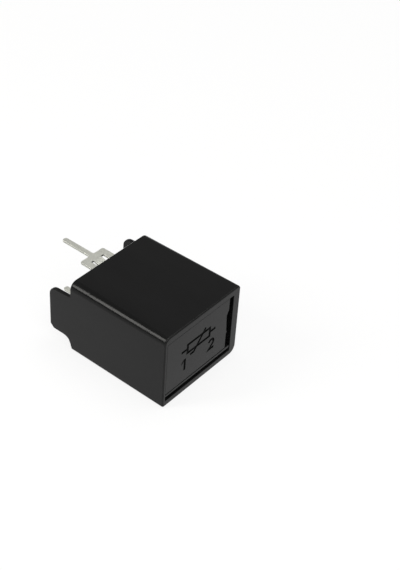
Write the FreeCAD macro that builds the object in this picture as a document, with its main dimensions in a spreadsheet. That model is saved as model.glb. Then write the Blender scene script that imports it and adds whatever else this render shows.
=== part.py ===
import FreeCAD, Part
import math
import os
import Sketcher

# PTC thermistor in a two-pin moulded case, lying on its lower broad side.
# Design frame, in millimetres: the marked end lies in the plane Y = 0, the pins point
# along +Y, X runs across the width and Z up through the thickness from the lower broad side.
# Each body is then moved along Y, so that the row's origin is the middle of its footprint.

SIZES = [
    # Case
    ("side_wall", 1.5, "wall on the two narrow sides"),
    ("broad_wall", 1.5, "wall on the two broad sides"),
    ("end_wall", 1.3, "wall that the terminals pass through"),
    ("cavity_round", 0.6, "inner corners of the cavity"),
    ("mouth_round_left_top", 1.0, "long edge radius at the marked end"),
    ("mouth_round_right_top", 0.65, "long edge radius at the marked end"),
    ("mouth_round_right_low", 1.4, "long edge radius at the marked end"),
    ("mouth_round_left_low", 0.4, "long edge radius at the marked end"),
    ("rear_round_left_top", 1.35, "long edge radius at the pin end"),
    ("rear_round_right_top", 1.2, "long edge radius at the pin end"),
    ("rear_round_right_low", 0.5, "long edge radius at the pin end"),
    ("rear_round_left_low", 0.5, "long edge radius at the pin end"),
    ("end_bevel", 0.15, "bevel round the marked end and the pin end"),
    # Stand-off tabs
    ("standoff_height", 4.3, "from the pin end to the board, for the tabs"),
    ("tab_wall", 0.7, "thickness of a tab"),
    ("tab_top_drop", 2.6, "upper edge of a tab below the upper broad side, at its root"),
    ("tab_top_fall", 0.35, "fall of that edge towards the end of the tab"),
    ("tab_low_rise", 2.2, "lower edge of a tab above the lower broad side"),
    ("tab_nose_round", 1.5, "upper outer corner of a tab"),
    ("tab_low_cut", 0.7, "bevel at the lower outer corner of a tab"),
    ("tab_root_round", 1.5, "hollow where the lower edge runs into the pin end"),
    ("tab_foot", 0.3, "foot of that hollow above the lower broad side"),
    # Mouth rim and end lid
    ("rim_left", 0.5, "rim of the mouth beside the lid"),
    ("rim_right", 1.5, "rim of the mouth beyond the open gap"),
    ("rim_top", 1.15, "rim of the mouth above the lid"),
    ("rim_low", 1.05, "rim of the mouth below the open gap"),
    ("lid_plate", 1.3, "thickness of the lid and depth of its seat"),
    ("lid_gap_side", 0.97, "open gap between the lid and the right rim"),
    ("lid_field_rise", 2.4, "lower edge of the marked field above the broad side"),
    ("lip_step", 0.08, "set-back of the lower lip behind the marked field"),
    ("lip_groove", 0.25, "width of the groove between the marked field and the lip"),
    ("lip_groove_depth", 0.4, "depth of that groove"),
    ("lip_gap_left", 0.67, "open gap below the lip, left end"),
    ("lip_gap_right", 0.6, "open gap below the lip, right end"),
    ("lip_end_gap", 0.12, "gap between the lip and the right rim"),
    ("latch_low", 5.6, "height of the nib in the lid's right edge"),
    ("latch_high", 8.9, "height of the deepest place of the latch notch"),
    ("latch_cut", 0.45, "greatest depth of the latch notch"),
    ("latch_back", 0.28, "set-back of the lid's edge below the notch"),
    ("latch_nib", 0.18, "height of the nib under the notch"),
    ("stop_width", 5.0, "width of the blocks that locate the disc along Y"),
    ("stop_height", 3.6, "height of the blocks that locate the disc along Y"),
    ("stop_gap", 0.15, "clearance between a block and the disc's rim"),
    # Thermistor disc and the room round it, which set the size of the case
    ("disc_diameter", 13.6, "diameter of the ceramic disc"),
    ("disc_height", 2.6, "thickness of the ceramic disc"),
    ("disc_edge", 0.25, "bevel at the rim of the disc"),
    ("disc_side_gap", 0.2, "clearance between the disc's rim and the side walls"),
    ("rear_stop_depth", 1.3, "depth of the block between the disc and the end wall"),
    ("front_stop_depth", 0.7, "depth of the block between the disc and the lid"),
    # Terminals
    ("strip", 0.35, "thickness of the terminal strip"),
    ("strip_gap", 0.03, "clearance round the strip in its slot"),
    ("plate_width", 5.0, "width of the strip from the slot to the shoulders"),
    ("shoulder_reach", 3.65, "from the pin end to the shoulders"),
    ("shoulder_round", 0.3, "outer corners of the shoulders"),
    ("pin_width", 0.9, "width of a pin"),
    ("pin_reach", 9.5, "from the pin end to the tip of a pin"),
    ("pin_nose", 0.36, "rounding of the tip of a pin"),
    ("pin_root_round", 0.3, "inner corner between pin and shoulder"),
    ("stop_ear_width", 8.0, "width of the ears that bear on the end wall"),
    ("stop_ear_length", 2.4, "length of the ears"),
    ("spring_width", 6.4, "width of the contact spring"),
    ("finger_slit", 1.2, "slit between the two contact fingers"),
    ("spring_height", 3.7, "from the underside of the strip to the contact land"),
    ("fold_radius", 0.75, "mean radius of the fold at the inner end"),
    ("fold_rise", 2.0, "rise of the strip over the fold"),
    ("fold_inset", 0.5, "clearance between the fold and the lid"),
    ("contact_length", 2.2, "length of the flat contact land"),
    ("contact_gap", 0.02, "clearance between the land and the disc"),
    ("spring_bend", 1.2, "bend radius beside the contact land"),
    ("finger_drop", 0.9, "drop of the free end away from the disc"),
    ("finger_run", 4.2, "run of the free end beyond the contact land"),
    ("tongue_width", 1.6, "width of the latch tongue"),
    ("tongue_slot", 0.5, "slot on each side of the latch tongue"),
    ("tongue_root", 2.45, "root of the tongue, from the pin end"),
    ("tongue_rise", 0.7, "set of the tongue's free end"),
    ("tongue_gap", 0.2, "clearance between the tongue and the pin end"),
]

doc = FreeCAD.newDocument("ptc_thermistor")
sheet = doc.addObject("Spreadsheet::Sheet", "Sizes")


class Size:
    """A length as an expression of the sheet and as its present value."""

    def __init__(self, text, value):
        self.text = text
        self.value = value

    def _pair(self, other, sign, result):
        text = other.text if isinstance(other, Size) else repr(float(other))
        return Size("(%s %s %s)" % (self.text, sign, text), result)

    def __add__(self, other):
        return self._pair(other, "+", self.value + number(other))

    def __sub__(self, other):
        return self._pair(other, "-", self.value - number(other))

    def __mul__(self, other):
        return self._pair(other, "*", self.value * number(other))

    def __truediv__(self, other):
        return self._pair(other, "/", self.value / number(other))

    def __neg__(self):
        return Size("(0 - %s)" % self.text, -self.value)


def number(item):
    """Value of a size or of a plain number."""
    return item.value if isinstance(item, Size) else float(item)


class Table:
    """Named sizes, each tied to its cell."""


table = Table()
for row, (alias, value, note) in enumerate(SIZES, start=1):
    sheet.set("A%d" % row, note)
    sheet.set("B%d" % row, str(value))
    sheet.setAlias("B%d" % row, alias)
    setattr(table, alias, Size("Sizes.%s" % alias, value))
doc.recompute()
zero = Size("0", 0.0)

# Outer sizes of the case, from the disc, the springs and the walls round them
half_width = table.disc_diameter / 2 + table.disc_side_gap + table.side_wall
strip_low = table.broad_wall + table.strip_gap
disc_below = strip_low + table.spring_height + table.contact_gap
half_thickness = disc_below + table.disc_height / 2
case_thickness = half_thickness * 2
disc_front = table.lid_plate + table.front_stop_depth + table.stop_gap
disc_centre = disc_front + table.disc_diameter / 2
disc_rear = disc_front + table.disc_diameter
rear_inside = disc_rear + table.stop_gap + table.rear_stop_depth
case_length = rear_inside + table.end_wall

# Places that several pieces share
pin_tip = case_length + table.pin_reach
strip_high = strip_low + table.strip
strip_middle = strip_low + table.strip / 2
row_shift = -(pin_tip / 2)


def plane(body, role):
    """One of a body's own origin planes."""
    for feature in body.Origin.OriginFeatures:
        if feature.Role == role:
            return feature
    raise ValueError("no plane %s" % role)


def bind(item, name, size):
    """Tie a property of an object to a size."""
    item.setExpression(name, size.text)


def new_body(name):
    """Empty body whose label is the name of its piece."""
    body = doc.addObject("PartDesign::Body", name)
    body.Label = name
    bind(body, "Placement.Base.y", row_shift)
    return body


def new_sketch(body, name, role, offset=None, sign=1):
    """Sketch on an origin plane, moved along the plane's normal."""
    sketch = body.newObject("Sketcher::SketchObject", name)
    sketch.AttachmentSupport = [(plane(body, role), "")]
    sketch.MapMode = "FlatFace"
    if offset is not None:
        moved = offset if sign > 0 else -offset
        sketch.AttachmentOffset = FreeCAD.Placement(
            FreeCAD.Vector(0, 0, moved.value), FreeCAD.Rotation())
        bind(sketch, "AttachmentOffset.Base.z", moved)
    return sketch


def corner_cut(before, corner, after, radius):
    """Ends and arc of a rounded corner, for the first layout of a sketch."""
    to_before = (before - corner).normalize()
    to_after = (after - corner).normalize()
    half_turn = to_before.getAngle(to_after) / 2
    reach = radius / math.tan(half_turn)
    start = corner + to_before * reach
    end = corner + to_after * reach
    inward = (to_before + to_after).normalize()
    centre = corner + inward * (radius / math.sin(half_turn))
    circle = Part.Circle(centre, FreeCAD.Vector(0, 0, 1), radius)
    turns_left = to_before.cross(to_after).z < 0
    first, last = (start, end) if turns_left else (end, start)
    arc = Part.ArcOfCircle(circle, circle.parameter(first), circle.parameter(last))
    return start, arc, end, turns_left


def chain(sketch, points):
    """Closed outline through the points, with an arc at each point that names a radius.

    Each point is (x, y) or (x, y, radius). Every point is held by its own two distances
    and every arc by its radius, so the sketch follows the sheet.
    """
    place = [FreeCAD.Vector(number(p[0]), number(p[1]), 0) for p in points]
    count = len(points)
    cuts = []
    for i in range(count):
        if len(points[i]) > 2:
            after = place[(i + 1) % count]
            cuts.append(corner_cut(place[i - 1], place[i], after, points[i][2].value))
        else:
            cuts.append((place[i], None, place[i], True))
    shapes = []
    for i in range(count):
        shapes.append(Part.LineSegment(cuts[i][2], cuts[(i + 1) % count][0]))
    rules = []
    tied = []
    dots = []
    for i in range(count):
        before = (i - 1) % count
        if cuts[i][1] is not None:
            at = len(shapes)
            shapes.append(cuts[i][1])
            first, last = (1, 2) if cuts[i][3] else (2, 1)
            rules.append(Sketcher.Constraint("Tangent", before, 2, at, first))
            rules.append(Sketcher.Constraint("Tangent", at, last, i, 1))
            tied.append((len(rules), points[i][2]))
            rules.append(Sketcher.Constraint("Radius", at, points[i][2].value))
            dots.append((i, before, place[i]))
            continue
        rules.append(Sketcher.Constraint("Coincident", before, 2, i, 1))
        for kind, size in (("DistanceX", points[i][0]), ("DistanceY", points[i][1])):
            tied.append((len(rules), size))
            rules.append(Sketcher.Constraint(kind, -1, 1, i, 1, size.value))
    sketch.addGeometry(shapes, False)
    for i, before, spot in dots:
        dot = sketch.addGeometry(Part.Point(spot), True)
        rules.append(Sketcher.Constraint("PointOnObject", dot, 1, before))
        rules.append(Sketcher.Constraint("PointOnObject", dot, 1, i))
        for kind, size in (("DistanceX", points[i][0]), ("DistanceY", points[i][1])):
            tied.append((len(rules), size))
            rules.append(Sketcher.Constraint(kind, -1, 1, dot, 1, size.value))
    sketch.addConstraint(rules)
    for at, size in tied:
        bind(sketch, "Constraints[%d]" % at, size)
    return sketch


def hold(sketch, kind, held, size):
    """Distance of a vertex from the sketch's origin along one axis."""
    at = sketch.addConstraint(Sketcher.Constraint(kind, -1, 1, held[0], held[1], size.value))
    bind(sketch, "Constraints[%d]" % at, size)


def box_points(left, low, right, high, radius=None):
    """Rectangle, with equal corner radii if one is given."""
    corners = [(left, low), (right, low), (right, high), (left, high)]
    if radius is None:
        return corners
    return [(x, y, radius) for x, y in corners]


def pad(body, name, sketch, length, backwards=False, midplane=False):
    """Material of the given length from a sketch."""
    feature = body.newObject("PartDesign::Pad", name)
    feature.Profile = sketch
    feature.Length = length.value
    bind(feature, "Length", length)
    feature.Reversed = backwards
    feature.Midplane = midplane
    sketch.Visibility = False
    doc.recompute()
    return feature


def pocket(body, name, sketch, length, backwards=False, midplane=False):
    """Cut of the given length from a sketch, checked to remove material."""
    volume = body.Shape.Volume
    feature = body.newObject("PartDesign::Pocket", name)
    feature.Profile = sketch
    feature.Length = length.value
    bind(feature, "Length", length)
    feature.Reversed = backwards
    feature.Midplane = midplane
    doc.recompute()
    if body.Shape.Volume > volume - 1e-4:
        raise ValueError("%s removes nothing" % name)
    return feature


# Case: block with bevelled ends, whose long edges are rounded more at the pin end
case = new_body("case")
block_section = chain(new_sketch(case, "block_section", "XZ_Plane"), box_points(
    -half_width, zero, half_width, case_thickness))
block = pad(case, "block", block_section, case_length, backwards=True)
end_edges = []
for i, edge in enumerate(block.Shape.Edges):
    ends = [vertex.Point.y for vertex in edge.Vertexes]
    if max(ends) - min(ends) < 1e-6:
        end_edges.append("Edge%d" % (i + 1))
bevel = table.end_bevel
end_bevels = case.newObject("PartDesign::Chamfer", "end_bevels")
end_bevels.Base = (block, end_edges)
end_bevels.Size = bevel.value
bind(end_bevels, "Size", bevel)
doc.recompute()


# Stand-off tabs: the side walls carried on to the board
tab_end = case_length + table.standoff_height
tab_outline = chain(new_sketch(case, "tab_outline", "YZ_Plane", half_width, -1), [
    (rear_inside, table.tab_foot),
    (case_length, table.tab_foot),
    (case_length, table.tab_low_rise, table.tab_root_round),
    (tab_end - table.tab_low_cut, table.tab_low_rise),
    (tab_end, table.tab_low_rise + table.tab_low_cut),
    (tab_end, case_thickness - table.tab_top_drop - table.tab_top_fall, table.tab_nose_round),
    (rear_inside, case_thickness - table.tab_top_drop),
])
tab = pad(case, "tab", tab_outline, table.tab_wall)
tab_pair = case.newObject("PartDesign::Mirrored", "tab_pair")
tab_pair.Originals = [tab]
tab_pair.MirrorPlane = (plane(case, "YZ_Plane"), [""])
case.Tip = tab_pair
doc.recompute()


def corner_section(name, place, corner, way, radius):
    """What lies outside one rounded long edge, at one place along Y."""
    x, z = corner
    x_way, z_way = way
    over = table.end_bevel
    points = [
        (x + over * x_way, z - (radius + over) * z_way),
        (x, z - (radius + over) * z_way),
        (x, z, radius),
        (x - (radius + over) * x_way, z),
        (x - (radius + over) * x_way, z + over * z_way),
        (x + over * x_way, z + over * z_way),
    ]
    return chain(new_sketch(case, name, "XZ_Plane", place, -1), points)


def round_edge(name, x_way, z_way, mouth_radius, rear_radius):
    """Long edge of the case, rounded from one end to the other."""
    sections = []
    for tag, place, inset, radius in (
            ("mouth_face", zero, bevel, mouth_radius),
            ("mouth", bevel, zero, mouth_radius),
            ("rear", case_length - bevel, zero, rear_radius),
            ("rear_face", case_length, bevel, rear_radius)):
        x = (half_width - inset) * x_way
        z = half_thickness + (half_thickness - inset) * z_way
        sections.append(corner_section(
            name + "_" + tag, place, (x, z), (x_way, z_way), radius - inset))
    doc.recompute()
    volume = case.Shape.Volume
    feature = case.newObject("PartDesign::SubtractiveLoft", name)
    feature.Profile = sections[0]
    feature.Sections = sections[1:]
    feature.Ruled = True
    doc.recompute()
    if case.Shape.Volume > volume - 1e-4:
        raise ValueError("%s removes nothing" % name)


# The long edges are cut after the tabs, so that the roots of the tabs follow them
round_edge("edge_right_low", 1, -1, table.mouth_round_right_low, table.rear_round_right_low)
round_edge("edge_right_top", 1, 1, table.mouth_round_right_top, table.rear_round_right_top)
round_edge("edge_left_top", -1, 1, table.mouth_round_left_top, table.rear_round_left_top)
round_edge("edge_left_low", -1, -1, table.mouth_round_left_low, table.rear_round_left_low)

# Cavity, open at the marked end
cavity_outline = chain(new_sketch(case, "cavity_outline", "XZ_Plane"), box_points(
    -(half_width - table.side_wall), table.broad_wall,
    half_width - table.side_wall, case_thickness - table.broad_wall,
    table.cavity_round))
cavity = pocket(case, "cavity", cavity_outline, rear_inside)

# Seat of the end lid
seat_outline = chain(new_sketch(case, "seat_outline", "XZ_Plane"), box_points(
    -(half_width - table.rim_left), table.rim_low,
    half_width - table.rim_right, case_thickness - table.rim_top))
seat = pocket(case, "lid_seat", seat_outline, table.lid_plate)

# Slots for the two terminals
for name, low in (
        ("slot_low", table.broad_wall),
        ("slot_high", case_thickness - table.broad_wall - table.strip
         - table.strip_gap * 2)):
    slot_outline = chain(
        new_sketch(case, name + "_outline", "XZ_Plane", case_length, -1), box_points(
            -(table.plate_width / 2 + table.strip_gap), low,
            table.plate_width / 2 + table.strip_gap,
            low + table.strip + table.strip_gap * 2))
    pocket(case, name, slot_outline, table.end_wall, backwards=True)

# Block on the end wall that stops the disc
stop_outline = chain(
    new_sketch(case, "rear_stop_outline", "XZ_Plane", rear_inside, -1), box_points(
        -(table.stop_width / 2), half_thickness - table.stop_height / 2,
        table.stop_width / 2, half_thickness + table.stop_height / 2))
pad(case, "rear_stop", stop_outline, table.rear_stop_depth)

# End lid: marked plate, lower lip parted from it by a groove, and a block that stops the disc
end_lid = new_body("end_lid")
lid_left = -(half_width - table.rim_left)
lid_right = half_width - table.rim_right - table.lid_gap_side
lid_low_right = lid_right - table.latch_back
lid_top = case_thickness - table.rim_top
plate_outline = chain(new_sketch(end_lid, "plate_outline", "XZ_Plane"), [
    (lid_left, table.lid_field_rise),
    (lid_low_right, table.lid_field_rise),
    (lid_low_right, table.latch_low - table.latch_nib * 2),
    (lid_low_right + table.latch_nib, table.latch_low),
    (lid_low_right, table.latch_low + table.latch_nib * 2),
    (lid_right - table.latch_cut, table.latch_high),
    (lid_right, table.latch_high + table.latch_cut * 2),
    (lid_right, lid_top),
    (lid_left, lid_top),
])
pad(end_lid, "plate", plate_outline, table.lid_plate, backwards=True)
lip_right = half_width - table.rim_right - table.lip_end_gap
lip_top = table.lid_field_rise - table.lip_groove
lip_outline = chain(
    new_sketch(end_lid, "lip_outline", "XZ_Plane", table.lip_step, -1), [
        (lid_left, table.rim_low + table.lip_gap_left),
        (lip_right, table.rim_low + table.lip_gap_right),
        (lip_right, lip_top),
        (lid_low_right, lip_top),
        (lid_low_right, table.lid_field_rise + table.lip_groove),
        (lid_left, table.lid_field_rise + table.lip_groove),
    ])
pad(end_lid, "lip", lip_outline, table.lid_plate - table.lip_step, backwards=True)
groove_outline = chain(new_sketch(end_lid, "groove_outline", "XZ_Plane"), box_points(
    lid_left, lip_top, lid_low_right, table.lid_field_rise))
pocket(end_lid, "lip_groove", groove_outline, table.lip_groove_depth)
block_outline = chain(
    new_sketch(end_lid, "block_outline", "XZ_Plane", table.lid_plate, -1), box_points(
        -(table.stop_width / 2), half_thickness - table.stop_height / 2,
        table.stop_width / 2, half_thickness + table.stop_height / 2))
pad(end_lid, "front_stop", block_outline,
    table.front_stop_depth, backwards=True)

# Ceramic disc, its two faces towards the broad sides
ptc_disc = new_body("ptc_disc")
disc_sketch = new_sketch(ptc_disc, "disc_outline", "XY_Plane", disc_below)
disc_circle = disc_sketch.addGeometry(Part.Circle(
    FreeCAD.Vector(0, disc_centre.value, 0), FreeCAD.Vector(0, 0, 1),
    table.disc_diameter.value / 2), False)
disc_sketch.addConstraint(Sketcher.Constraint("PointOnObject", disc_circle, 3, -2))
hold(disc_sketch, "DistanceY", (disc_circle, 3), disc_centre)
across = disc_sketch.addConstraint(
    Sketcher.Constraint("Diameter", disc_circle, table.disc_diameter.value))
bind(disc_sketch, "Constraints[%d]" % across, table.disc_diameter)
disc_pad = pad(ptc_disc, "disc", disc_sketch, table.disc_height)
disc_rim = ptc_disc.newObject("PartDesign::Chamfer", "disc_rim")
disc_rim.Base = (disc_pad, [
    "Edge%d" % (i + 1) for i, edge in enumerate(disc_pad.Shape.Edges)
    if edge.Curve.TypeId == "Part::GeomCircle"])
disc_rim.Size = table.disc_edge.value
bind(disc_rim, "Size", table.disc_edge)
doc.recompute()


def terminal(name):
    """Stamped strip: pin, shoulders, latch tongue, stop ears and folded contact spring."""
    body = new_body(name)
    fold_end = table.lid_plate + table.fold_inset + table.strip / 2
    base_start = fold_end + table.fold_radius
    spring_high = strip_middle + table.fold_rise
    land_high = strip_low + table.spring_height - table.strip / 2
    half_plate = table.plate_width / 2
    half_pin = table.pin_width / 2
    shoulder = case_length + table.shoulder_reach
    half_ear = table.stop_ear_width / 2
    half_spring = table.spring_width / 2
    ear_high = rear_inside - table.strip_gap
    ear_low = ear_high - table.stop_ear_length
    right = [
        (half_spring, base_start),
        (half_spring, ear_low - (half_ear - half_spring)),
        (half_ear, ear_low),
        (half_ear, ear_high),
        (half_plate, ear_high),
        (half_plate, shoulder, table.shoulder_round),
        (half_pin, shoulder, table.pin_root_round),
        (half_pin, pin_tip, table.pin_nose),
    ]
    left = [(-item[0],) + item[1:] for item in reversed(right)]
    blank = chain(new_sketch(body, name + "_blank", "XY_Plane", strip_low), right + left)
    pad(body, name + "_strip", blank, table.strip)

    # Contact spring: the strip's folded side outline, carried across its width
    contact_start = disc_centre - table.contact_length / 2
    contact_end = disc_centre + table.contact_length / 2
    spring_free = contact_end + table.finger_run
    half_strip = table.strip / 2
    outer_fold = table.fold_radius + half_strip
    inner_fold = table.fold_radius - half_strip
    outer_bend = table.spring_bend + table.strip
    land_top = land_high + half_strip
    land_under = land_high - half_strip
    fold = chain(new_sketch(body, name + "_fold_outline", "YZ_Plane"), [
        (base_start + table.strip, strip_low),
        (base_start + table.strip, strip_high),
        (fold_end + half_strip, strip_high, inner_fold),
        (fold_end + half_strip, spring_high - half_strip, inner_fold),
        (contact_start, land_under, table.spring_bend),
        (contact_end, land_under, table.spring_bend),
        (spring_free, land_under - table.finger_drop),
        (spring_free, land_top - table.finger_drop),
        (contact_end, land_top, outer_bend),
        (contact_start, land_top, outer_bend),
        (fold_end - half_strip, spring_high + half_strip, outer_fold),
        (fold_end - half_strip, strip_low, outer_fold),
    ])
    pad(body, name + "_spring", fold, table.spring_width, midplane=True)

    # Slit that parts the spring into two contact fingers
    slit = chain(
        new_sketch(body, name + "_slit_outline", "XY_Plane", spring_high + table.strip), box_points(
            -(table.finger_slit / 2), contact_start - table.contact_length,
            table.finger_slit / 2, contact_end + table.finger_run * 1.5))
    pocket(body, name + "_slit", slit, table.fold_rise * 1.6, midplane=True)

    # Window and the latch tongue that stands up in it
    half_window = table.tongue_width / 2 + table.tongue_slot
    tongue_root = case_length + table.tongue_root
    tongue_free = case_length + table.tongue_gap
    window = chain(
        new_sketch(body, name + "_window_outline", "XY_Plane", strip_low), box_points(
            -half_window, case_length - table.tongue_gap, half_window, tongue_root))
    pocket(body, name + "_window", window, table.strip, backwards=True)
    tongue = chain(new_sketch(body, name + "_tongue_outline", "YZ_Plane"), [
        (tongue_root + table.strip, strip_low),
        (tongue_root + table.strip, strip_high),
        (tongue_root, strip_high),
        (tongue_free, strip_high + table.tongue_rise),
        (tongue_free, strip_low + table.tongue_rise),
        (tongue_root, strip_low),
    ])
    pad(body, name + "_tongue", tongue, table.tongue_width, midplane=True)
    return body


terminal_lower = terminal("terminal_lower")

# The upper terminal is the same strip, turned over about the case's long middle line
terminal_upper = terminal("terminal_upper")
terminal_upper.Placement = FreeCAD.Placement(
    FreeCAD.Vector(0, row_shift.value, case_thickness.value),
    FreeCAD.Rotation(FreeCAD.Vector(0, 1, 0), 180))
bind(terminal_upper, "Placement.Base.y", row_shift)
bind(terminal_upper, "Placement.Base.z", case_thickness)
doc.recompute()

pieces = [case, end_lid, ptc_disc, terminal_lower, terminal_upper]

for item in doc.Objects:
    if "Invalid" in item.State or "Error" in item.State:
        raise ValueError("%s failed to build" % item.Name)
for body in pieces:
    if body.Shape.isNull() or not body.Shape.isValid():
        raise ValueError("%s has no valid shape" % body.Label)
    if len(body.Shape.Solids) != 1:
        raise ValueError("%s is not one solid" % body.Label)

os.makedirs("parts", exist_ok=True)
for body in pieces:
    body.Shape.exportStep("parts/%s.step" % body.Label)
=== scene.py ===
import math

import bmesh
import bpy
from bpy.props import (
    FloatProperty,
    FloatVectorProperty,
    IntProperty,
    PointerProperty,
)
from mathutils import Matrix, Vector


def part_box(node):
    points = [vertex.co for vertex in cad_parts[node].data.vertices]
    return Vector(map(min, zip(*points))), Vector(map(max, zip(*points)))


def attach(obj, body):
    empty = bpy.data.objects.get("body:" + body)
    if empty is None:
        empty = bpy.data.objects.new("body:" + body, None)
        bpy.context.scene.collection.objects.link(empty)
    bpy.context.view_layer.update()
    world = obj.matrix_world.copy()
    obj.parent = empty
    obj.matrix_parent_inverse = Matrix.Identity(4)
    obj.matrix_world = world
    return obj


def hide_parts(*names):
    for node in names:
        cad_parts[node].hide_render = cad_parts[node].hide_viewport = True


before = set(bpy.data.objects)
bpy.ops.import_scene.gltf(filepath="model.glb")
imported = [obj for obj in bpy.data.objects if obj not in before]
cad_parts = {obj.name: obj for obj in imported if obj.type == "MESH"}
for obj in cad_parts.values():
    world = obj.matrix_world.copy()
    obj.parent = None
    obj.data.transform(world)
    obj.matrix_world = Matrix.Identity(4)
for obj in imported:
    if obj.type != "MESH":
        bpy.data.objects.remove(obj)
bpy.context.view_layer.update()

bl_info = {
    "name": "PTC thermistor looks",
    "version": (1, 0, 0),
    "blender": (4, 5, 0),
    "location": "3D View > Sidebar > Thermistor",
    "description": "Dresses the packed two-pin thermistor with moulded, stamped and fired finishes",
    "category": "Object",
}

MM = 0.001
# Mask of the rounded edge faces: the plastic paints them paler (a painted highlight), the tin strip paints
# them darker
EDGE_LAYER = "rounded_edge_faces"

# Tolerances of the mesh work, lengths in metres

JOIN_DISTANCE = 1e-7
SLIVER = 2e-6
SAME_PLACE = 0.01 * MM
FLAT_ANGLE = math.radians(0.4)
SMOOTH_ANGLE = math.radians(38)
SLIGHT_TURN = math.radians(30)
SHARP_TURN = math.radians(40)
SQUARE_ON = 0.9999
UPRIGHT = 0.1
MITRE_SHARE = 0.35

# Features of the case and its lid that the frame's boxes don't give

STANDOFF = 4.3 * MM
ROOT_REACH = 1.5
BEVEL_SLOPES = (-0.8, -0.6)
NUMBER_FOOT = 5.5 * MM
NUMBER_STARTS = {2: -1.6 * MM, 1: -6.5 * MM}
NUMBER_ROOT = -0.1 * MM
CUT_START = -0.2 * MM

# Differences in sheen between the faces of the plastic

SATIN_STREAKS = 0.03
GLOSSY_STREAKS = 0.015
LID_DULLNESS = 0.02


# Mesh work


def solid_of(node):
    """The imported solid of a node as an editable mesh, its corners joined and its flat faces whole."""
    shape = bmesh.new()
    shape.from_mesh(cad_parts[node].data)
    bmesh.ops.remove_doubles(shape, verts=shape.verts, dist=JOIN_DISTANCE)
    bmesh.ops.dissolve_limit(
        shape, angle_limit=FLAT_ANGLE, verts=shape.verts, edges=shape.edges
    )
    return shape


def soften(shape, radius, steps, chosen):
    """Rounds the chosen edges within the solid's reach and marks the new faces as rounded edge faces."""
    reach = [(min(column), max(column)) for column in zip(*(corner.co for corner in shape.verts))]
    edges = [
        edge for edge in shape.edges
        if len(edge.link_faces) == 2 and chosen(edge)
    ]
    made = bmesh.ops.bevel(
        shape,
        geom=edges,
        offset=radius,
        offset_type="OFFSET",
        segments=steps,
        profile=0.5,
        affect="EDGES",
        clamp_overlap=False,
    )
    for corner in made["verts"]:
        corner.co = [min(max(at, low), high) for at, (low, high) in zip(corner.co, reach)]
    mark_rounded_edges(shape, made["faces"])


def mark_rounded_edges(shape, faces):
    """Writes 1 at every corner of the given faces, for the finishes to read."""
    layer = shape.loops.layers.float.get(EDGE_LAYER) or shape.loops.layers.float.new(EDGE_LAYER)
    for face in faces:
        for loop in face.loops:
            loop[layer] = 1.0


def as_piece(shape, name, finishes, node):
    """Makes a shown piece of a mesh: it rides on the body and stands for its node."""
    mesh = bpy.data.meshes.new(name)
    shape.to_mesh(mesh)
    shape.free()
    for finish in finishes:
        mesh.materials.append(finish)
    return dressed(mesh, name, node)


def dressed(mesh, name, node):
    """Links a mesh as a piece with smooth shading broken at its sharp edges."""
    for polygon in mesh.polygons:
        polygon.use_smooth = True
    mesh.set_sharp_from_angle(angle=SMOOTH_ANGLE)
    piece = bpy.data.objects.new(name, mesh)
    bpy.context.scene.collection.objects.link(piece)
    even = piece.modifiers.new("even_shading", "WEIGHTED_NORMAL")
    even.keep_sharp = True
    even.weight = 60
    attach(piece, "root")
    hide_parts(node)
    return piece


def stroke_outline(points, width):
    """The closed outline of a pen stroke of the given width along a line of flat points."""
    half = width / 2
    left, right = [], []
    for index, point in enumerate(points):
        before = points[max(index - 1, 0)]
        after = points[min(index + 1, len(points) - 1)]
        run_in = (Vector(point) - Vector(before)).normalized() if index else None
        run_out = (Vector(after) - Vector(point)).normalized() if index < len(points) - 1 else None
        run_in = run_in or run_out
        run_out = run_out or run_in
        across = Vector((-run_in.y - run_out.y, run_in.x + run_out.x)).normalized()
        reach = half / max(across.dot(Vector((-run_out.y, run_out.x))), MITRE_SHARE)
        left.append(Vector(point) + across * reach)
        right.append(Vector(point) - across * reach)
    return left + right[::-1]


def arc(centre, radius, start, stop, steps):
    """Flat points along an arc, its angles in degrees."""
    turn = [math.radians(start + (stop - start) * step / steps) for step in range(steps + 1)]
    return [(centre[0] + radius * math.cos(t), centre[1] + radius * math.sin(t)) for t in turn]


def digit_outline(digit, corner, height, width):
    """The outline of the plain number 1 or 2 from its lower left corner, drawn by shares of its height."""
    x, y = corner
    if digit == 1:
        top, flag, lean = y + height, y + 0.78 * height, 0.85 * width
        right = x + 0.34 * height + width / 2
        left = right - width
        stem = [(left, y), (right, y), (right, top), (left, top)]
        return [*stem, (x, flag), (x, flag - lean), (left, top - lean)]
    foot = y + width / 2
    centre = (x + 0.31 * height, y + 0.75 * height - width / 2)
    bowl = arc(centre, radius=0.25 * height, start=165, stop=-35, steps=14)
    return stroke_outline([*bowl, (x + 0.08 * height, foot), (x + 0.62 * height, foot)], width)


def prisms_of(outlines, to_space, low, high):
    """One closed prism for each outline, from low to high across the drawing plane."""
    shape = bmesh.new()
    for outline in outlines:
        near = [shape.verts.new(to_space(p, low)) for p in outline]
        far = [shape.verts.new(to_space(p, high)) for p in outline]
        shape.faces.new(near)
        shape.faces.new(far[::-1])
        for index in range(len(near)):
            following = (index + 1) % len(near)
            shape.faces.new((near[following], near[index], far[index], far[following]))
    bmesh.ops.recalc_face_normals(shape, faces=shape.faces)
    mesh = bpy.data.meshes.new("prisms")
    shape.to_mesh(mesh)
    shape.free()
    return mesh


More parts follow.
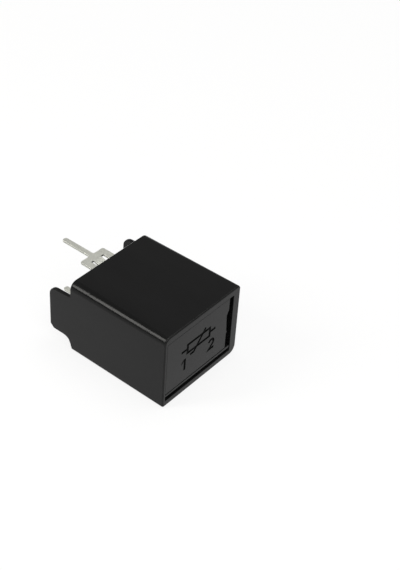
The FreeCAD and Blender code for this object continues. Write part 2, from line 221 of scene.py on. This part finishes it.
def carved(mesh, cutter_mesh, cutter_finish):
    """The mesh with the cutter taken out, slivers joined and the cut faces in the cutter's finish."""
    body = bpy.data.objects.new("carve_body", mesh)
    cutter_mesh.materials.append(cutter_finish)
    tool = bpy.data.objects.new("carve_tool", cutter_mesh)
    for thing in (body, tool):
        bpy.context.scene.collection.objects.link(thing)
    step = body.modifiers.new("carve", "BOOLEAN")
    step.operation = "DIFFERENCE"
    step.object = tool
    step.solver = "EXACT"
    step.use_self = True
    step.material_mode = "TRANSFER"
    graph = bpy.context.evaluated_depsgraph_get()
    result = bpy.data.meshes.new_from_object(body.evaluated_get(graph), depsgraph=graph)
    for thing in (body, tool):
        bpy.data.objects.remove(thing)
    shape = bmesh.new()
    shape.from_mesh(result)
    bmesh.ops.dissolve_degenerate(shape, dist=SLIVER, edges=shape.edges)
    shape.to_mesh(result)
    shape.free()
    return result


def flatten(mesh, facing):
    """Shades the faces square to the facing direction flat, with no turn towards their neighbours."""
    for polygon in mesh.polygons:
        if abs(polygon.normal.dot(facing)) > SQUARE_ON:
            polygon.use_smooth = False


# Finishes


def add(tree, kind, sockets=None, **settings):
    """Adds a shader node, sets it up, and joins or fills its sockets."""
    made = tree.nodes.new("ShaderNode" + kind)
    for name, value in settings.items():
        setattr(made, name, value)
    for name, value in (sockets or {}).items():
        if isinstance(value, bpy.types.NodeSocket):
            tree.links.new(value, made.inputs[name])
        else:
            made.inputs[name].default_value = value
    return made


def new_finish(name):
    """An empty material: its node tree, its surface shader and the place on the object."""
    material = bpy.data.materials.new(name)
    material.use_nodes = True
    tree = material.node_tree
    shader = tree.nodes["Principled BSDF"]
    place = add(tree, "TexCoord").outputs["Object"]
    return material, tree, shader, place


def grain(tree, place, scale, stretch=(1, 1, 1), detail=3.0, roughness=0.55):
    """A noise pattern of the given scale per metre, stretched along an axis."""
    turned = add(tree, "Mapping", {"Vector": place, "Scale": stretch})
    return add(
        tree, "TexNoise",
        {"Vector": turned.outputs[0], "Scale": scale, "Detail": detail, "Roughness": roughness},
    ).outputs[0]


def spread(tree, value, within, onto):
    """The value's part within one range, spread onto another."""
    ends = dict(zip(("From Min", "From Max", "To Min", "To Max"), (*within, *onto)))
    return add(tree, "MapRange", {"Value": value, **ends}).outputs[0]


def sum_of(tree, first, second):
    """The sum of two numbers."""
    return add(tree, "Math", {0: first, 1: second}, operation="ADD").outputs[0]


def product_of(tree, first, second):
    """The product of two numbers."""
    return add(tree, "Math", {0: first, 1: second}, operation="MULTIPLY").outputs[0]


def greater_of(tree, first, second):
    """The greater of two numbers."""
    return add(tree, "Math", {0: first, 1: second}, operation="MAXIMUM").outputs[0]


def shade(colour, share=1.0):
    """The colour made lighter or darker by a share, ready for a shader."""
    return (*(min(1.0, part * share) for part in colour), 1.0)


def blend_colours(tree, share, first, second):
    """A colour between the first and the second."""
    return add(tree, "Mix", {0: share, 6: first, 7: second}, data_type="RGBA").outputs[2]


def relief(tree, shader, height, depth, strength):
    """Turns a height pattern into the shader's bump."""
    bump = add(tree, "Bump", {"Height": height, "Distance": depth, "Strength": strength})
    tree.links.new(bump.outputs[0], shader.inputs["Normal"])


def moulded_plastic(name, settings, roughness, sheen_streaks):
    """Black moulded plastic: fine mould grain, faint flow marks, and slightly duller rounded edges painted
    paler as a painted highlight.
    """
    material, tree, shader, place = new_finish(name)
    flow = grain(tree, place, scale=160, stretch=(1.0, 0.35, 1.0), detail=4.0, roughness=0.6)
    fine = grain(tree, place, scale=5200, detail=2.0)
    dust = grain(tree, place, scale=900, detail=5.0, roughness=0.7)
    edge_faces = add(tree, "Attribute", attribute_name=EDGE_LAYER).outputs["Fac"]
    broken = product_of(tree, edge_faces, spread(tree, dust, (0.35, 0.65), (0.35, 1.0)))
    flowed = spread(tree, flow, (0.35, 0.65), (0.0, 1.0))
    mottled = blend_colours(tree, flowed, shade(settings.colour), shade(settings.colour, 1.25))
    # Painted highlight: the rounded edges are painted lighter than the plastic, broken up by the dust
    # pattern
    painted_edge_highlight = shade(settings.colour, settings.edge_highlight_lift)
    tree.links.new(blend_colours(tree, broken, mottled, painted_edge_highlight), shader.inputs["Base Color"])
    streaks = (roughness - sheen_streaks, roughness + sheen_streaks)
    rough = spread(tree, flow, (0.3, 0.7), streaks)
    rough = sum_of(tree, rough, spread(tree, dust, (0.3, 0.8), (-0.02, 0.03)))
    rough = sum_of(tree, rough, product_of(tree, broken, 0.05))
    tree.links.new(rough, shader.inputs["Roughness"])
    shader.inputs["IOR"].default_value = 1.5
    shader.inputs["Specular IOR Level"].default_value = settings.gloss
    height = sum_of(tree, fine, product_of(tree, flow, 3.0))
    relief(tree, shader, height, depth=0.004 * MM, strength=0.6)
    return material


def etched_plastic(name, settings):
    """The dull, slightly rough floor of an engraved mark in the same plastic."""
    material, tree, shader, place = new_finish(name)
    pits = grain(tree, place, scale=9000, detail=4.0, roughness=0.7)
    pitted = spread(tree, pits, (0.3, 0.7), (0.0, 1.0))
    colour = blend_colours(tree, pitted, shade(settings.colour, 0.4), shade(settings.colour))
    tree.links.new(colour, shader.inputs["Base Color"])
    tree.links.new(spread(tree, pits, (0.3, 0.7), (0.5, 0.72)), shader.inputs["Roughness"])
    shader.inputs["Specular IOR Level"].default_value = settings.gloss * 0.3
    relief(tree, shader, pits, depth=0.02 * MM, strength=0.8)
    return material


def tinned_strip(name, settings):
    """Bright tinned spring strip: rolled along its length, dull on the sheared edges."""
    material, tree, shader, place = new_finish(name)
    rolled = grain(tree, place, scale=5200, stretch=(1.0, 0.05, 1.0), detail=3.0, roughness=0.6)
    cloudy = grain(tree, place, scale=420, detail=4.0, roughness=0.6)
    edge_faces = add(tree, "Attribute", attribute_name=EDGE_LAYER).outputs["Fac"]
    clouds = spread(tree, cloudy, (0.35, 0.7), (0.0, 1.0))
    clouded = blend_colours(tree, clouds, shade(settings.colour), shade(settings.colour, 0.82))
    sheared = blend_colours(tree, product_of(tree, edge_faces, 0.6), clouded, shade(settings.colour, 0.7))
    tree.links.new(sheared, shader.inputs["Base Color"])
    streaks = (settings.roughness - 0.06, settings.roughness + 0.06)
    rough = spread(tree, rolled, (0.3, 0.7), streaks)
    rough = sum_of(tree, rough, spread(tree, cloudy, (0.3, 0.7), (-0.04, 0.05)))
    tree.links.new(rough, shader.inputs["Roughness"])
    shader.inputs["Metallic"].default_value = 1.0
    relief(tree, shader, rolled, depth=0.004 * MM, strength=0.5)
    return material


def sheared_strip(name, settings):
    """The punched narrow sides of the strip: darker, smoother and scored through their thickness."""
    material, tree, shader, place = new_finish(name)
    scored = grain(tree, place, scale=9000, stretch=(1.0, 1.0, 0.08), detail=3.0, roughness=0.6)
    scores = spread(tree, scored, (0.35, 0.65), (0.0, 1.0))
    colour = blend_colours(tree, scores, shade(settings.colour, 0.75), shade(settings.colour, 0.4))
    tree.links.new(colour, shader.inputs["Base Color"])
    tree.links.new(spread(tree, scored, (0.3, 0.7), (0.3, 0.42)), shader.inputs["Roughness"])
    shader.inputs["Metallic"].default_value = 1.0
    relief(tree, shader, scored, depth=0.006 * MM, strength=0.5)
    return material


def fired_disc(name, settings, centre, half_height):
    """Fired grey ceramic whose two faces carry a silvery electrode with a bare margin."""
    material, tree, shader, place = new_finish(name)
    grit = grain(tree, place, scale=3800, detail=5.0, roughness=0.7)
    clouds = grain(tree, place, scale=300, detail=3.0)
    offset = add(tree, "VectorMath", {0: place, 1: centre}, operation="SUBTRACT").outputs[0]
    flat = add(tree, "VectorMath", {0: offset, 1: (1, 1, 0)}, operation="MULTIPLY").outputs[0]
    away = add(tree, "VectorMath", {0: flat}, operation="LENGTH").outputs["Value"]
    rise = add(tree, "SeparateXYZ", {0: offset}).outputs["Z"]
    height = add(tree, "Math", {0: rise}, operation="ABSOLUTE")
    near_face = half_height * 0.98
    inside = add(tree, "Math", {0: away, 1: settings.electrode_diameter / 2}, operation="LESS_THAN")
    on_face = add(tree, "Math", {0: height.outputs[0], 1: near_face}, operation="GREATER_THAN")
    silver = product_of(tree, inside.outputs[0], on_face.outputs[0])
    bare, metal = settings.ceramic_colour, settings.electrode_colour
    gritty = spread(tree, grit, (0.3, 0.7), (0.0, 1.0))
    ceramic = blend_colours(tree, gritty, shade(bare), shade(bare, 0.7))
    clouded = spread(tree, clouds, (0.3, 0.7), (0.0, 1.0))
    plated = blend_colours(tree, clouded, shade(metal), shade(metal, 0.85))
    tree.links.new(blend_colours(tree, silver, ceramic, plated), shader.inputs["Base Color"])
    tree.links.new(silver, shader.inputs["Metallic"])
    tree.links.new(spread(tree, grit, (0.3, 0.7), (0.42, 0.66)), shader.inputs["Roughness"])
    relief(tree, shader, grit, depth=0.01 * MM, strength=0.5)
    return material


# Settings


class CaseLooks(bpy.types.PropertyGroup):
    """Edges and plastic of the moulded case and its end lid."""

    edge_radius: FloatProperty(
        name="Edge radius", description="Rounding beside the bevel of the mouth",
        default=0.1 * MM, min=0, unit="LENGTH",
    )
    tab_radius: FloatProperty(
        name="Tab edge radius", description="Rounding of the edges of the stand-off tabs",
        default=0.2 * MM, min=0, unit="LENGTH",
    )
    fine_radius: FloatProperty(
        name="Fine edge radius", description="Rounding of the edges round the lid and its slots",
        default=0.06 * MM, min=0, unit="LENGTH",
    )
    edge_steps: IntProperty(
        name="Edge steps", description="Facets across each rounded edge", default=3, min=1, max=6,
    )
    colour: FloatVectorProperty(
        name="Plastic colour", description="Colour of the moulded plastic",
        default=(0.0058, 0.0058, 0.0058), subtype="COLOR", min=0, max=1,
    )
    # Painted highlight: the factor by which the rounded edges of the plastic are painted lighter
    edge_highlight_lift: FloatProperty(
        name="Edge lift", description="How much lighter the rounded edges are painted, a painted highlight", default=2.0, min=1,
    )
    gloss: FloatProperty(
        name="Gloss", description="Specular level of the plastic", default=0.135, min=0, max=1,
    )
    side_roughness: FloatProperty(
        name="Side roughness", description="Roughness of the satin outer faces",
        default=0.17, min=0, max=1,
    )
    end_roughness: FloatProperty(
        name="Pin end roughness", description="Roughness of the polished pin end",
        default=0.07, min=0, max=1,
    )


class MarkingLooks(bpy.types.PropertyGroup):
    """The engraved connection mark and the terminal numbers."""

    stroke: FloatProperty(
        name="Stroke", description="Width of an engraved stroke", default=0.45 * MM, unit="LENGTH",
    )
    depth: FloatProperty(
        name="Depth", description="Depth of the engraving", default=0.12 * MM, unit="LENGTH",
    )
    digit_height: FloatProperty(
        name="Digit height", description="Height of the engraved digits",
        default=2.2 * MM, unit="LENGTH",
    )
    number_height: FloatProperty(
        name="Moulded number height", description="Height of the raised numbers on the pin end",
        default=1.5 * MM, unit="LENGTH",
    )
    number_stroke: FloatProperty(
        name="Moulded stroke", description="Width of a stroke of the raised numbers",
        default=0.22 * MM, unit="LENGTH",
    )
    number_relief: FloatProperty(
        name="Moulded relief", description="How far the raised numbers stand out",
        default=0.12 * MM, unit="LENGTH",
    )


class TerminalLooks(bpy.types.PropertyGroup):
    """Edges and plating of the stamped terminals."""

    edge_radius: FloatProperty(
        name="Edge radius", description="Rounding of the sheared edges",
        default=0.05 * MM, unit="LENGTH",
    )
    edge_steps: IntProperty(
        name="Edge steps", description="Facets across each rounded edge", default=2, min=1, max=6,
    )
    colour: FloatVectorProperty(
        name="Plating colour", description="Colour of the tinned strip",
        default=(0.79, 0.795, 0.725), subtype="COLOR", min=0, max=1,
    )
    roughness: FloatProperty(
        name="Roughness", description="Mean roughness of the plating", default=0.47, min=0, max=1,
    )


class DiscLooks(bpy.types.PropertyGroup):
    """The ceramic disc and its electrodes."""

    electrode_diameter: FloatProperty(
        name="Electrode diameter", description="Diameter of the silvered area",
        default=12.8 * MM, unit="LENGTH",
    )
    ceramic_colour: FloatVectorProperty(
        name="Ceramic colour", description="Colour of the bare ceramic",
        default=(0.15, 0.145, 0.135), subtype="COLOR", min=0, max=1,
    )
    electrode_colour: FloatVectorProperty(
        name="Electrode colour", description="Colour of the silvered faces",
        default=(0.62, 0.62, 0.6), subtype="COLOR", min=0, max=1,
    )


class StageLooks(bpy.types.PropertyGroup):
    """Floor, light and camera."""

    lamp_level: FloatProperty(
        name="Lamp level", description="Factor on the power of all lamps", default=1.0, min=0,
    )
    floor_colour: FloatVectorProperty(
        name="Floor colour", description="Colour of the floor", default=(0.9, 0.9, 0.9),
        subtype="COLOR", min=0, max=1,
    )
    white_share: FloatProperty(
        name="White share", description="Share of plain white in what is seen and mirrored of the floor",
        default=0.8, min=0, max=1,
    )
    azimuth: FloatProperty(
        name="Camera azimuth", description="Camera direction round the object",
        default=math.radians(-53.108), subtype="ANGLE",
    )
    elevation: FloatProperty(
        name="Camera elevation", description="Camera height above the floor",
        default=math.radians(39.416), subtype="ANGLE",
    )
    roll: FloatProperty(
        name="Camera roll", description="Camera turn about its own axis",
        default=math.radians(4.095), subtype="ANGLE",
    )
    distance: FloatProperty(
        name="Camera distance", description="Distance from the point looked at",
        default=177.976 * MM, unit="LENGTH",
    )
    target: FloatVectorProperty(
        name="Camera target", description="Point in the middle of the picture",
        default=(6.520 * MM, -7.931 * MM, 10.778 * MM), subtype="TRANSLATION", unit="LENGTH",
    )
    lens: FloatProperty(
        name="Lens", description="Focal length in millimetres", default=75.161, min=10,
    )


# Pieces


def turns_by(limit):
    """A test for edges that turn by more than the limit."""
    return lambda edge: edge.calc_face_angle() > limit


def tab_edge(root):
    """A test for the edges of the stand-off tabs, which lie beyond their root."""
    turned = turns_by(SHARP_TURN)
    return lambda edge: turned(edge) and min(corner.co.y for corner in edge.verts) > root - SAME_PLACE


def clear_of_roots(shape, pin_end, root):
    """A test for sharp edges that don't touch the places where the tabs grow out of the case."""
    turned = turns_by(SHARP_TURN)
    below, above, beside = 0.2 * MM, 0.4 * MM, 0.2 * MM
    ring = [corner.co for corner in shape.verts if abs(corner.co.y - root) < SAME_PLACE]
    low = min(place.z for place in ring) - below
    high = max(place.z for place in ring) + above
    inner = min(abs(place.x) for place in ring) - SAME_PLACE
    rooted = {
        corner for corner in shape.verts
        if abs(corner.co.y - pin_end) < beside and abs(corner.co.x) > inner and low < corner.co.z < high
    }
    return lambda edge: turned(edge) and not rooted.intersection(edge.verts)


def mouth_bevel_edge(edge):
    """Whether an edge belongs to the narrow bevel round the mouth."""
    steep, shallow = BEVEL_SLOPES
    on_bevel = any(steep < face.normal.y < shallow for face in edge.link_faces)
    return on_bevel and edge.calc_face_angle() > SLIGHT_TURN


def raised_numbers(marks, pin_end):
    """The two moulded numbers as closed prisms, rooted in the pin end's wall."""

    def on_pin_end(point, height):
        return Vector((-point[0], pin_end + height, point[1]))

    outlines = [
        digit_outline(digit, (start, NUMBER_FOOT), marks.number_height, marks.number_stroke)
        for digit, start in NUMBER_STARTS.items()
    ]
    return prisms_of(outlines, on_pin_end, NUMBER_ROOT, marks.number_relief)


class THERMISTOR_OT_case(bpy.types.Operator):
    """Makes the moulded case with softened edges and raised terminal numbers"""

    bl_idname = "thermistor.case"
    bl_label = "Moulded case"

    def execute(self, context):
        looks = context.scene.thermistor_case
        marks = context.scene.thermistor_marking
        satin = moulded_plastic("satin_black_moulding", looks, looks.side_roughness, SATIN_STREAKS)
        glossy = moulded_plastic("glossy_black_moulding", looks, looks.end_roughness, GLOSSY_STREAKS)
        shape = solid_of("case")
        pin_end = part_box("case")[1].y - STANDOFF
        root = pin_end + looks.tab_radius * ROOT_REACH
        bmesh.ops.bisect_plane(
            shape, geom=[*shape.verts, *shape.edges, *shape.faces], dist=JOIN_DISTANCE,
            plane_co=(0, root, 0), plane_no=(0, 1, 0),
        )
        soften(shape, looks.tab_radius, looks.edge_steps, tab_edge(root))
        soften(shape, looks.edge_radius, looks.edge_steps, mouth_bevel_edge)
        soften(shape, looks.fine_radius, looks.edge_steps, clear_of_roots(shape, pin_end, root))
        shape.from_mesh(raised_numbers(marks, pin_end))
        for face in shape.faces:
            off_end = max(abs(corner.co.y - pin_end) for corner in face.verts)
            face.material_index = 1 if off_end < marks.number_relief + SAME_PLACE else 0
        as_piece(shape, "moulded_case", [satin, glossy], "case")
        return {"FINISHED"}


class THERMISTOR_OT_end_lid(bpy.types.Operator):
    """Makes the end lid with its engraved connection mark"""

    bl_idname = "thermistor.end_lid"
    bl_label = "End lid"

    def execute(self, context):
        looks = context.scene.thermistor_case
        marks = context.scene.thermistor_marking
        roughness = looks.side_roughness + LID_DULLNESS
        satin = moulded_plastic("satin_black_lid", looks, roughness, SATIN_STREAKS)
        etched = etched_plastic("engraved_mark", looks)
        shape = solid_of("end_lid")
        soften(shape, looks.fine_radius, looks.edge_steps, turns_by(SLIGHT_TURN))
        mesh = bpy.data.meshes.new("marked_lid")
        shape.to_mesh(mesh)
        shape.free()
        mesh.materials.append(satin)
        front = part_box("end_lid")[0].y

        def on_lid(point, depth):
            return Vector((point[0], front + depth, point[1]))

        cutter = prisms_of(connection_mark(marks), on_lid, CUT_START, marks.depth)
        mesh = carved(mesh, cutter, etched)
        dressed(mesh, "marked_lid", "end_lid")
        flatten(mesh, Vector((0, 1, 0)))
        return {"FINISHED"}


def connection_mark(marks):
    """Outlines of a plain wiring sketch: a resistor box with a slanted line above the numbers 1 and 2."""
    left, right = -4.75 * MM, 2.95 * MM
    box_left, box_right = -3.4 * MM, 1.6 * MM
    box_low, box_high = 7.5 * MM, 9.1 * MM
    slant = [(-2.75 * MM, 6.8 * MM), (-1.95 * MM, 6.8 * MM), (0.6 * MM, 9.8 * MM)]
    digit_foot = 4.5 * MM
    digit_starts = {1: left + 0.1 * MM, 2: right - 0.68 * marks.digit_height}
    middle, half = (box_low + box_high) / 2, marks.stroke / 2
    strokes = [
        [(box_left, box_low), (box_right, box_low)],
        [(box_left, box_high), (box_right, box_high)],
        [(box_left, box_low - half), (box_left, box_high + half)],
        [(box_right, box_low - half), (box_right, box_high + half)],
        [(left, middle), (box_left, middle)],
        [(box_right, middle), (right, middle)],
        slant,
    ]
    digits = [
        digit_outline(digit, (start, digit_foot), marks.digit_height, marks.stroke)
        for digit, start in digit_starts.items()
    ]
    return [stroke_outline(points, marks.stroke) for points in strokes] + digits


class THERMISTOR_OT_terminals(bpy.types.Operator):
    """Makes the two stamped terminals with rounded sheared edges"""

    bl_idname = "thermistor.terminals"
    bl_label = "Terminals"

    def execute(self, context):
        looks = context.scene.thermistor_terminals
        finishes = [tinned_strip("tinned_spring_strip", looks), sheared_strip("punched_strip_side", looks)]
        pin_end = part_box("case")[1].y - STANDOFF
        for node in ("terminal_lower", "terminal_upper"):
            shape = solid_of(node)
            for face in shape.faces:
                upright = abs(face.normal.z) < UPRIGHT
                outside = face.calc_center_median().y > pin_end
                face.material_index = 1 if upright and outside else 0
            soften(shape, looks.edge_radius, looks.edge_steps, turns_by(SHARP_TURN))
            as_piece(shape, "stamped_" + node, finishes, node)
        return {"FINISHED"}


class THERMISTOR_OT_disc(bpy.types.Operator):
    """Makes the ceramic disc with its silvered faces"""

    bl_idname = "thermistor.disc"
    bl_label = "Ceramic disc"

    def execute(self, context):
        looks = context.scene.thermistor_disc
        low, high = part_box("ptc_disc")
        finish = fired_disc("fired_ceramic", looks, tuple((low + high) / 2), (high.z - low.z) / 2)
        shape = solid_of("ptc_disc")
        as_piece(shape, "fired_disc", [finish], "ptc_disc")
        return {"FINISHED"}


class THERMISTOR_OT_stage(bpy.types.Operator):
    """Sets the floor, the surrounding light, the lamps and the camera"""

    bl_idname = "thermistor.stage"
    bl_label = "Stage"

    def execute(self, context):
        looks = context.scene.thermistor_stage
        context.scene.view_settings.view_transform = "Standard"
        white_floor(looks)
        surrounding_light(context.scene)
        for name, place, sides, power, colour in LAMPS:
            soft_lamp(name, Vector(place) * MM, sides, power * looks.lamp_level, colour)
        place_camera(context.scene, looks)
        return {"FINISHED"}


# Stage: each lamp has a name, a place and sides in millimetres, a power in watts and a colour

LAMPS = (
    ("lamp_front_left", (-210, -330, 460), (420, 420), 1.35, (1.0, 1.0, 1.0)),
    ("lamp_overhead", (120, -60, 550), (420, 420), 1.5, (1.0, 1.0, 0.985)),
    ("lamp_left_back", (-300, 225, 275), (110, 260), 0.9, (1.0, 0.985, 0.95)),
)
LAMP_TARGET = Vector((0, 0, 6 * MM))
FLOOR_REACH = 1.5
ROOM_LEVEL = 0.3


def soft_lamp(name, place, sides, power, colour):
    """A soft lamp of the given width and height in millimetres that looks at the object."""
    lamp = bpy.data.lights.new(name, "AREA")
    lamp.shape = "RECTANGLE"
    lamp.size, lamp.size_y = (side * MM for side in sides)
    lamp.energy = power
    lamp.color = colour
    holder = bpy.data.objects.new(name, lamp)
    holder.location = place
    holder.rotation_euler = (LAMP_TARGET - place).to_track_quat("-Z", "Y").to_euler()
    bpy.context.scene.collection.objects.link(holder)


def white_floor(looks):
    """A wide pale floor that looks white, also in reflections, and keeps a soft shadow."""
    corners = [(x * FLOOR_REACH, y * FLOOR_REACH, 0) for x, y in ((-1, -1), (1, -1), (1, 1), (-1, 1))]
    mesh = bpy.data.meshes.new("floor")
    mesh.from_pydata(corners, [], [(0, 1, 2, 3)])
    floor = bpy.data.objects.new("floor", mesh)
    bpy.context.scene.collection.objects.link(floor)
    material, tree, shader, _ = new_finish("pale_floor")
    shader.inputs["Base Color"].default_value = (*looks.floor_colour, 1)
    shader.inputs["Roughness"].default_value = 0.9
    shader.inputs["Specular IOR Level"].default_value = 0.0
    path = add(tree, "LightPath").outputs
    seen = greater_of(tree, path["Is Camera Ray"], mirrored_ray(tree, path))
    white = add(tree, "Emission", {"Color": (1, 1, 1, 1), "Strength": 1.0})
    mixed = add(tree, "MixShader", {0: product_of(tree, seen, looks.white_share)})
    tree.links.new(shader.outputs[0], mixed.inputs[1])
    tree.links.new(white.outputs[0], mixed.inputs[2])
    tree.links.new(mixed.outputs[0], tree.nodes["Material Output"].inputs["Surface"])
    mesh.materials.append(material)


def surrounding_light(scene):
    """A dim room, white for the camera. Reflections see a white horizon and a room lighter on the right."""
    world = bpy.data.worlds.new("studio")
    scene.world = world
    world.use_nodes = True
    tree = world.node_tree
    background = tree.nodes["Background"]
    direction = add(tree, "SeparateXYZ", {0: add(tree, "TexCoord").outputs["Generated"]}).outputs
    room = spread(tree, direction["X"], (-0.2, 0.6), (0.04, 0.42))
    horizon = spread(tree, direction["Z"], (0.0, 0.02), (1.0, 0.0))
    path = add(tree, "LightPath").outputs
    mirrored = product_of(tree, mirrored_ray(tree, path), greater_of(tree, horizon, room))
    seen = greater_of(tree, path["Is Camera Ray"], mirrored)
    tree.links.new(greater_of(tree, seen, ROOM_LEVEL), background.inputs["Strength"])
    background.inputs["Color"].default_value = (1, 1, 1, 1)


def mirrored_ray(tree, path):
    """1 for rays of a reflection or through glass."""
    return greater_of(tree, path["Is Glossy Ray"], path["Is Transmission Ray"])


def place_camera(scene, looks):
    """The camera where the photograph was taken from."""
    turn, rise, roll = looks.azimuth, looks.elevation, looks.roll
    back = Vector((math.sin(turn) * math.cos(rise), -math.cos(turn) * math.cos(rise), math.sin(rise)))
    right = Vector((math.cos(turn), math.sin(turn), 0))
    up = back.cross(right)
    across = right * math.cos(roll) + up * math.sin(roll)
    upright = -right * math.sin(roll) + up * math.cos(roll)
    data = bpy.data.cameras.new("camera")
    data.lens = looks.lens
    data.sensor_width = 36
    data.clip_start = 0.01
    data.clip_end = 10
    camera = bpy.data.objects.new("camera", data)
    scene.collection.objects.link(camera)
    place = Vector(looks.target) + back * looks.distance
    camera.matrix_world = Matrix((
        (across.x, upright.x, back.x, place.x),
        (across.y, upright.y, back.y, place.y),
        (across.z, upright.z, back.z, place.z),
        (0, 0, 0, 1),
    ))
    scene.camera = camera


# Add-on


class THERMISTOR_PT_panel(bpy.types.Panel):
    """Lists the thermistor's settings and its making steps."""

    bl_idname = "THERMISTOR_PT_panel"
    bl_label = "PTC thermistor"
    bl_space_type = "VIEW_3D"
    bl_region_type = "UI"
    bl_category = "Thermistor"

    def draw(self, context):
        for group, steps in STEPS:
            box = self.layout.box()
            settings = getattr(context.scene, group)
            for name in settings.__annotations__:
                box.prop(settings, name)
            for step in steps:
                box.operator(step.bl_idname)


GROUPS = {
    "thermistor_case": CaseLooks,
    "thermistor_marking": MarkingLooks,
    "thermistor_terminals": TerminalLooks,
    "thermistor_disc": DiscLooks,
    "thermistor_stage": StageLooks,
}
STEPS = (
    ("thermistor_case", (THERMISTOR_OT_case,)),
    ("thermistor_marking", (THERMISTOR_OT_end_lid,)),
    ("thermistor_terminals", (THERMISTOR_OT_terminals,)),
    ("thermistor_disc", (THERMISTOR_OT_disc,)),
    ("thermistor_stage", (THERMISTOR_OT_stage,)),
)
OPERATORS = [step for group, steps in STEPS for step in steps]


def register():
    """Registers the classes and hangs the settings on the scene."""
    for kind in (*GROUPS.values(), *OPERATORS, THERMISTOR_PT_panel):
        bpy.utils.register_class(kind)
    for name, kind in GROUPS.items():
        setattr(bpy.types.Scene, name, PointerProperty(type=kind))


def unregister():
    """Takes the settings and the classes away again."""
    for name in GROUPS:
        delattr(bpy.types.Scene, name)
    for kind in (THERMISTOR_PT_panel, *reversed(OPERATORS), *reversed(GROUPS.values())):
        bpy.utils.unregister_class(kind)


def main():
    """Builds every piece in order."""
    register()
    for step in OPERATORS:
        area, name = step.bl_idname.split(".")
        getattr(getattr(bpy.ops, area), name)()


if __name__ == "__main__":
    main()
